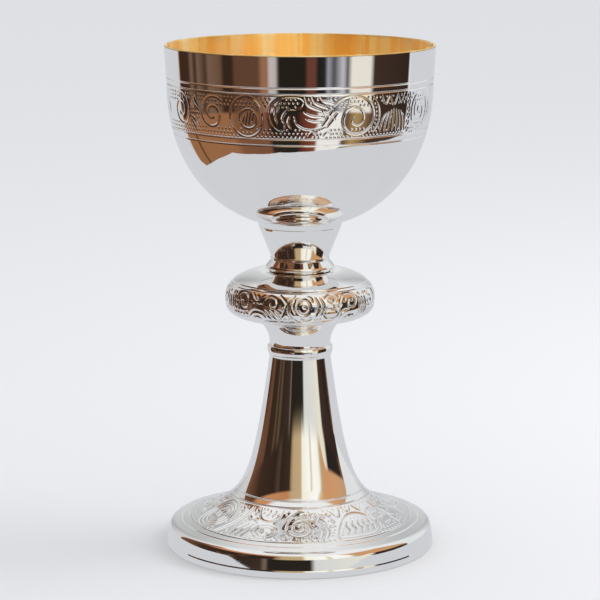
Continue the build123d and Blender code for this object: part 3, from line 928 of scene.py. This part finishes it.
def foot_ornament():
    """Half a turn of the foot's band: wreaths, bosses, sprays and a lobed leaf."""
    band = Relief(pi * FOOT_BAND_RADIUS, FOOT_BAND_LENGTH, HALF_TURN_COLUMNS * 3 // 4, FOOT_BAND_ROWS)

    def s(*points, w=0.5, depth=0.34):
        band.stroke(*points, w=w, depth=depth, swell=0.45)

    for rx, ry in ((8.6, 8.2), (6.9, 6.6), (5.2, 4.9)):
        band.oval(-44.0, 9.8, rx, ry, w=0.42, depth=0.3)
    s((-46.6, 6.8), (-44.6, 8.8), (-45.6, 11.0), (-43.0, 12.8))
    s((-44.0, 6.6), (-42.2, 8.6), (-43.2, 10.6), (-41.2, 12.2))
    s((-34.6, 1.2), (-30.6, 9.4), (-27.2, 18.4))
    s((-33.2, 1.2), (-29.0, 9.4), (-25.8, 18.4))
    for x in (-31.0, -28.6, -26.2):
        s((x + 4.0, 1.6), (x + 5.0, 6.0), (x + 7.4, 9.6), w=0.65, depth=0.4)
    s((-22.0, 18.2), (-19.4, 13.6), (-15.0, 12.4), (-10.6, 14.0), (-8.8, 18.2))
    s((-16.8, 15.2), (-15.8, 17.6), w=0.6)
    s((-13.6, 15.2), (-12.8, 17.6), w=0.6)
    band.oval(-14.4, 6.4, 3.6, 2.7, w=0.5)
    band.oval(-14.4, 6.4, 5.2, 4.2, w=0.4)
    band.spiral(0.0, 9.6, 6.6, 1.9, 2.2, w=0.55, depth=0.36)
    band.spiral(-5.6, 3.8, 2.8, 1.2, 1.0, hand=-1, w=0.45)
    band.spiral(6.0, 15.0, 3.2, 1.3, -1.0, w=0.45)
    s((-8.6, 10.6), (-6.8, 14.0), (-3.0, 17.4), (2.0, 18.2))
    s((7.6, 3.0), (9.4, 7.4), (8.6, 11.4))
    s((9.8, 2.6), (11.8, 7.4), (11.0, 11.8))
    s((14.0, 2.4), (16.0, 7.4), (20.0, 12.2), (26.0, 14.8), (32.6, 13.6), (36.2, 9.0), (34.4, 4.4),
      (29.0, 2.0), (21.4, 1.8), (14.0, 2.4), w=0.55)
    for i in range(5):
        x = 18.6 + i * 3.1
        s((x, 4.0), (x + 1.6, 6.6), (x + 1.4, 9.0), (x + 3.0, 11.2), w=0.6, depth=0.38)
    s((15.0, 17.8), (19.0, 14.2), (21.6, 18.2))
    s((23.4, 18.2), (26.2, 16.0), (29.0, 18.2))
    s((30.6, 18.2), (34.0, 15.4), (38.0, 18.2))
    for i in range(4):
        s((38.6, 4.6 + i * 3.4), (43.0, 5.2 + i * 3.4), w=0.45)
    s((45.6, 2.0), (47.4, 9.6), (45.4, 17.6))
    band.spiral(51.6, 9.6, 5.4, 1.5, 0.6, hand=-1, w=0.5)
    s((57.0, 2.2), (58.8, 8.6), (57.0, 16.6))
    band.dots(1.1, 3.2, 2.0, 1.0, radius=0.42, depth=0.26)
    band.leaves(3.4, 17.6, 3.1, 1.5, 1.7, 0.42, 0.32)
    band.dots(4.0, 18.6, 2.0, 1.1, radius=0.4, depth=0.24)
    return half_turns(band)


# ---------------------------------------------------------------- pieces
def outside_of_bowl():
    """Points down the outside of the bowl, from the wall's foot to the axis."""
    drops = [BOWL_DEPTH * sin(pi / 2 * i / 200) ** (2 / BOWL_POWER) for i in range(201)]
    bowl = [(bowl_radius(WALL_FOOT_Z - d), WALL_FOOT_Z - d) for d in drops]
    bowl[-1] = (0.0, WALL_FOOT_Z - BOWL_DEPTH)
    return bowl


def shell(outside, wall, step):
    """The plainer inside, run upwards, of an outside that runs downwards."""
    plain = even(outside, step)
    inside = plain - outward(plain) * wall
    inside[:, 0] = np.maximum(inside[:, 0], 0)
    if plain[-1][0] < ON_AXIS:
        inside[-1][0] = 0
    return inside[::-1]


def chased_band(name, node, face, away, depth, thickness, back_step):
    """A band of chasing with a turned line along both edges; away is the distance from the nearer one."""
    depth = np.maximum(depth, line_cut(away)[:, None])
    back = shell(face, thickness, back_step)
    silver_piece(name, node, list(face) + list(back), columns=depth.shape[1], depth=depth)


def cup_outside():
    """The plate outside the cup, sunk a little behind the chased band."""
    outside = [(RIM_RADIUS, TOTAL_HEIGHT - CUP_WALL / 2)] + outside_of_bowl()
    profile = scored(outside, [(bowl_radius(z), z) for z in CUP_LINES])
    sink(profile, 1, CUP_BAND, CUP_BAND_SINK)
    silver_piece("cup_outside", "cup", list(profile) + list(shell(outside, SILVER_LAYER, 2.0)))


def cup_band():
    """The chased band round the cup."""
    low, high = CUP_BAND
    heights = np.linspace(high, low, CUP_BAND_ROWS)
    face = np.array([(bowl_radius(z), z) for z in heights])
    away = np.minimum(heights - low, high - heights)
    chased_band("cup_band", "cup", face, away, cup_ornament(), CUP_BAND_THICKNESS, 4.0)


def cup_inside():
    """The gilt lining, from the lip's outer edge down to the bottom of the bowl."""
    scale = (BOWL_DEPTH - CUP_WALL) / BOWL_DEPTH
    inner = [(r * (1 - CUP_WALL / WALL_FOOT_RADIUS), WALL_FOOT_Z - (WALL_FOOT_Z - z) * scale)
             for r, z in outside_of_bowl()]
    half = CUP_WALL / 2
    lip = TOTAL_HEIGHT - half
    wall = even([(RIM_RADIUS - CUP_WALL, lip)] + inner, 1.0)
    wall[-1][0] = 0
    arc = [(RIM_RADIUS - half + half * cos(a), lip + half * sin(a))
           for a in np.linspace(GILT_LIP_ANGLE, pi, 9)[:-1]]
    back = wall + outward(wall) * GILT_LAYER
    back[-1][0] = 0
    finish_piece(lathe("cup_inside", arc + list(wall) + list(back[::-1])), GILT, "gilt", "cup")


def cup_boss():
    """The pad under the bowl and its spigot."""
    edge_radius = BOSS_RADIUS + BOSS_FLARE
    under_bowl = [(r, z - JOINT_LAP) for r, z in outside_of_bowl() if r < edge_radius - 0.1]
    spigot_radius, spigot_foot_z = BOSS_SPIGOT
    corners = [
        (edge_radius, bowl_height(edge_radius) + JOINT_LAP, 0), (BOSS_RADIUS, BOSS_SEAT_Z, 0.12),
        (spigot_radius, BOSS_SEAT_Z, 0), (spigot_radius, spigot_foot_z, 0.3), (ROD_RADIUS, spigot_foot_z, 0),
        (ROD_RADIUS, ROD_TOP_Z, 0), (0.0, ROD_TOP_Z, 0),
    ]
    silver_piece("cup_boss", "cup_boss", softened(corners) + under_bowl[::-8])


def upper_collar():
    """The cone under the cup, with its land and its bore."""
    (r0, z0), (r1, z1) = COLLAR_TOP, COLLAR_WAIST
    cone = []
    for t in np.linspace(0, 1, 9)[1:-1]:
        cone.append((r0 + (r1 - r0) * t - COLLAR_SAG * 4 * t * (1 - t), z0 + (z1 - z0) * t, 0))
    socket_radius, socket_z = COLLAR_SOCKET
    corners = [
        (BOSS_RADIUS, BOSS_SEAT_Z, 0.12), (r0, z0, 0.4), *cone, (r1, z1, 0.15), (BORE_RADIUS, z1, 0),
        (BORE_RADIUS, socket_z, 0), (socket_radius, socket_z, 0), (socket_radius, BOSS_SEAT_Z, 0),
    ]
    silver_piece("upper_collar", "upper_collar", softened(corners))


def neck_ring():
    """The small fillet and the rounded ring below it."""
    seat_z = knop_top(KNOP_SEAT_RADIUS)
    foot_z = seat_z - SPIGOT_DEPTH
    top_z = COLLAR_WAIST[1]
    corners = [
        (NECK_TOP_RADIUS, top_z, 0), (NECK_FILLET_RADIUS, top_z - 0.3, 0.2),
        (NECK_FILLET_RADIUS, top_z - 0.9, 0.2), (*NECK_THROAT, 0.15),
        (NECK_RING_EDGE_RADIUS, NECK_RING_Z + NECK_RING_EDGE_HALF, 0.5),
        (NECK_RING_RADIUS, NECK_RING_Z, 0.5), (NECK_RING_EDGE_RADIUS, NECK_RING_Z - NECK_RING_EDGE_HALF, 0.5),
        (*NECK_UNDERSIDE, 0.25), (NECK_SEAT_RADIUS, seat_z, 0), (KNOP_HOLE_RADIUS, seat_z, 0),
        (KNOP_HOLE_RADIUS, foot_z, 0), (BORE_RADIUS, foot_z, 0), (BORE_RADIUS, top_z, 0),
    ]
    silver_piece("neck_ring", "neck_ring", softened(corners))


def knop_edge(outside, line_radius, start, end):
    """Outside of a knop shell between its turned line (1) and the seam (0)."""
    inset = (KNOP_RADIUS - line_radius) * np.linspace(start, end, 80) ** 2.4
    return even([(r, outside(r)) for r in KNOP_RADIUS - inset], 0.05)


def knop_inside(outside, neck_radius, wall, count):
    """Inside of a knop shell from its neck out to the seam."""
    radii = np.linspace(neck_radius, KNOP_RADIUS - KNOP_WALL, count)
    return [(r, outside(r) + wall) for r in radii[:-1]] + [(radii[-1], KNOP_SEAM_Z)]


def knop_upper(edge, depth):
    """The upper shell; edge is its chased part, which runs down to the seam."""
    dome = [(r, knop_top(r)) for r in np.linspace(KNOP_SEAT_RADIUS, KNOP_LINES[0], 90)]
    dome = scored(dome, [(r, knop_top(r)) for r in KNOP_LINES], SCORED_STEP)
    hole_z = dome[0][1]
    face = [(KNOP_HOLE_RADIUS, hole_z)] + list(dome[:-1]) + list(edge)
    inner = knop_inside(knop_top, KNOP_SEAT_RADIUS, -KNOP_WALL, 26)
    profile = face + inner[::-1] + [(KNOP_HOLE_RADIUS, hole_z - KNOP_WALL)]
    silver_piece("knop_upper", "knop_upper_shell", profile, columns=HALF_TURN_COLUMNS,
                 depth=depth, first=len(face) - len(edge))


def knop_lower(edge, depth):
    """The lower shell; edge is its chased part, which starts at the seam."""
    belly = [(r, knop_bottom(r)) for r in np.linspace(KNOP_LOWER_LINE, KNOP_FOOT_RADIUS, 60)]
    belly = scored(belly, [belly[0]], SCORED_STEP)
    foot_z = belly[-1][1]
    hole = [(KNOP_HOLE_RADIUS, foot_z), (KNOP_HOLE_RADIUS, foot_z + KNOP_WALL)]
    inner = knop_inside(knop_bottom, KNOP_FOOT_RADIUS, KNOP_WALL, 20)
    silver_piece("knop_lower", "knop_lower_shell", list(edge) + list(belly[1:]) + hole + inner,
                 columns=HALF_TURN_COLUMNS, depth=depth)


def knop():
    """Both shells of the knop; the chased band runs across their seam."""
    upper_edge = knop_edge(knop_top, KNOP_LINES[0], 1, 0)
    lower_edge = knop_edge(knop_bottom, KNOP_LOWER_LINE, 0, 1)
    upper_length = arc_lengths(upper_edge)[-1]
    lower_length = arc_lengths(lower_edge)[-1]
    depth = knop_ornament(upper_length + lower_length, KNOP_UPPER_ROWS + KNOP_LOWER_ROWS + 1)
    depth[:2] = 0
    depth[-2:] = 0
    knop_upper(even(upper_edge, upper_length / KNOP_UPPER_ROWS), depth[:KNOP_UPPER_ROWS + 1])
    knop_lower(even(lower_edge, lower_length / KNOP_LOWER_ROWS), depth[KNOP_UPPER_ROWS:])


def cove_radius(z):
    """Outside of the lower collar at height z."""
    rise = z - LOWER_COLLAR_FOOT_Z
    return COVE_WAIST_RADIUS + COVE_ARC_RADIUS - sqrt(COVE_ARC_RADIUS**2 - rise**2)


def lower_collar():
    """The cove under the knop."""
    top_z = knop_bottom(KNOP_FOOT_RADIUS)
    cove = [(cove_radius(z), z) for z in np.linspace(top_z, LOWER_COLLAR_FOOT_Z, 26)]
    inner = [(BORE_RADIUS, LOWER_COLLAR_FOOT_Z), (BORE_RADIUS, top_z + SPIGOT_DEPTH),
             (KNOP_HOLE_RADIUS, top_z + SPIGOT_DEPTH), (KNOP_HOLE_RADIUS, top_z)]
    silver_piece("lower_collar", "lower_collar", cove + inner)


def bead_ring():
    """The half-round bead."""
    middle_z = (LOWER_COLLAR_FOOT_Z + BEAD_FOOT_Z) / 2
    half = (LOWER_COLLAR_FOOT_Z - BEAD_FOOT_Z) / 2
    bulge = BEAD_RADIUS - BEAD_LAND_RADIUS
    arc = [(BEAD_LAND_RADIUS + bulge * cos(a), middle_z + half * sin(a))
           for a in np.linspace(pi / 2, -pi / 2, 17)]
    bore = [(BORE_RADIUS, BEAD_FOOT_Z), (BORE_RADIUS, LOWER_COLLAR_FOOT_Z)]
    silver_piece("bead_ring", "bead_ring", arc + bore)


def shoulder_edge():
    """Radius at which the shoulder arc leaves the flare, and the arc's centre, found by halving."""
    low = SHOULDER_SEARCH_RADIUS
    high = SKIRT_RADIUS
    for _ in range(40):
        edge = (low + high) / 2
        slope = (flare_height(edge + SLOPE_STEP) - flare_height(edge - SLOPE_STEP)) / (2 * SLOPE_STEP)
        length = hypot(1, slope)
        r = edge + slope * SHOULDER_RADIUS / length
        z = flare_height(edge) - SHOULDER_RADIUS / length
        inset = (SKIRT_RADIUS - r) * cos(SKIRT_LEAN) - (z - FOOT_RIM_HEIGHT) * sin(SKIRT_LEAN)
        if inset > SHOULDER_RADIUS:
            low = edge
        else:
            high = edge
    return edge, (r, z)


def foot_outside():
    """Outside of the stem and foot from the stem's band down to the skirt's foot."""
    edge, centre = shoulder_edge()
    edge_z = flare_height(edge)
    heights = STEM_TOP_Z * (edge_z / STEM_TOP_Z) ** np.linspace(0, 1, 400)
    flare = [(flare_radius(z), z) for z in heights]
    start = np.arctan2(edge_z - centre[1], edge - centre[0])
    arc = [(centre[0] + SHOULDER_RADIUS * cos(a), centre[1] + SHOULDER_RADIUS * sin(a))
           for a in np.linspace(start, SKIRT_LEAN, 24)[1:]]
    return flare + arc + [(SKIRT_RADIUS, FOOT_RIM_HEIGHT)]


def stem_and_foot():
    """The stem, the spreading foot and its skirt, sunk a little behind the chased band."""
    outside = foot_outside()
    profile = scored(outside, [(r, flare_height(r)) for r in FOOT_LINES], SCORED_STEP)
    sink(profile, 0, FOOT_BAND, FOOT_BAND_SINK)
    inside = shell(outside, FOOT_WALL, 1.5)
    inside[0] = (SKIRT_RADIUS - FOOT_WALL / cos(SKIRT_LEAN), FOOT_RIM_HEIGHT)
    inside[-1] = (inside[-1][0], BEAD_FOOT_Z)
    land = [(BEAD_LAND_RADIUS, BEAD_FOOT_Z), (BEAD_LAND_RADIUS, STEM_TOP_Z + STEM_TOP_BEVEL),
            (BEAD_LAND_RADIUS - STEM_TOP_BEVEL, STEM_TOP_Z)]
    silver_piece("stem_and_foot", "stem_and_foot", land + list(profile) + list(inside))


def foot_band():
    """The chased band on the foot."""
    fine = np.array([(r, flare_height(r)) for r in np.linspace(*FOOT_BAND, 200)])
    face = even(fine, arc_lengths(fine)[-1] / (FOOT_BAND_ROWS - 1))
    along = arc_lengths(face)
    away = np.minimum(along, along[-1] - along)
    chased_band("foot_band", "stem_and_foot", face, away, foot_ornament(), FOOT_BAND_THICKNESS, 2.0)


def foot_rim():
    """The ring that the foot stands on, stepped inside the skirt."""
    step_radius = SKIRT_RADIUS - FOOT_WALL / cos(SKIRT_LEAN)
    step_z = FOOT_RIM_HEIGHT + FOOT_RIM_STEP
    step_top_radius = step_radius - FOOT_RIM_STEP * np.tan(SKIRT_LEAN)
    corners = [
        (SKIRT_RADIUS, FOOT_RIM_HEIGHT, 0), (FOOT_RIM_RADIUS - 0.1, FOOT_RIM_HEIGHT - 0.6, 0.5),
        (FOOT_RIM_RADIUS, 0.0, FOOT_RIM_ROUND), (FOOT_RIM_BORE, 0.0, 0.2), (FOOT_RIM_BORE, step_z, 0.2),
        (step_top_radius, step_z, 0), (step_radius, FOOT_RIM_HEIGHT, 0),
    ]
    silver_piece("foot_rim", "foot_rim", softened(corners))


make_camera()
make_world()
make_floor()
make_lights()
cup_outside()
cup_band()
cup_inside()
cup_boss()
upper_collar()
neck_ring()
knop()
lower_collar()
bead_ring()
stem_and_foot()
foot_band()
foot_rim()

# The parts inside keep their CAD meshes.
for name, material in CARRIED.items():
    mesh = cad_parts[name].data
    mesh.materials.clear()
    mesh.materials.append(material)

scene = bpy.context.scene
scene.view_settings.view_transform = "Standard"
